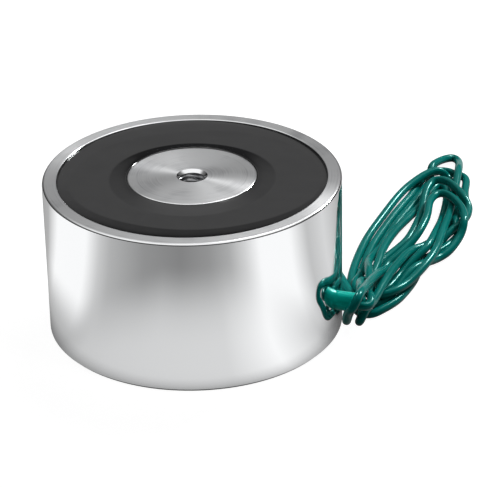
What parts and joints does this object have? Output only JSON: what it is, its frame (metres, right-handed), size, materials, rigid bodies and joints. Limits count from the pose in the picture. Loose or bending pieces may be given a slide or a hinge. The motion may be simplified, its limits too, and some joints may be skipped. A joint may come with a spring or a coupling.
{
  "type": "electromagnet",
  "caption": "Round pot-type holding electromagnet with a flush centre pole, a threaded through hole, a potted coil and flying leads.",
  "frame": {"origin": "centre of the flat back face of the steel pot", "axes": "+Z along the axis of the pot, out of its holding face; -Y is the front, and the leads leave at the right, 19 degrees in front of +X"},
  "size_m": [0.0784, 0.0831, 0.027],
  "materials": {
    "plated_steel": "turned mild steel, bright zinc plated",
    "bobbin_nylon": "moulded glass-filled nylon, natural colour",
    "enamelled_copper": "enamelled copper winding wire, glossy",
    "polyester_tape": "thin polyester coil tape",
    "solder": "bright soft solder",
    "shrunk_tubing": "satin black shrink tubing",
    "tinned_copper": "tinned stranded copper",
    "lead_insulation": "glossy PVC insulation, teal green",
    "green_tubing": "glossy insulating tubing, teal green",
    "potting_resin": "black casting resin, set to a smooth glossy surface"
  },
  "bodies": {
    "root": {"pot": "plated_steel", "bobbin": "bobbin_nylon", "coil_winding": "enamelled_copper", "start_tail": "enamelled_copper", "finish_tail": "enamelled_copper", "coil_tape": "polyester_tape", "start_joint": "solder", "finish_joint": "solder", "start_joint_sleeve": "shrunk_tubing", "finish_joint_sleeve": "shrunk_tubing", "start_lead_conductor": "tinned_copper", "finish_lead_conductor": "tinned_copper", "start_bare_tip": "tinned_copper", "finish_bare_tip": "tinned_copper", "start_lead_insulation": "lead_insulation", "finish_lead_insulation": "lead_insulation", "start_free_end": "lead_insulation", "finish_free_end": "lead_insulation", "lead_hank": "lead_insulation", "lead_sleeve": "green_tubing", "potting_compound": "potting_resin"}
  },
  "joints": []
}
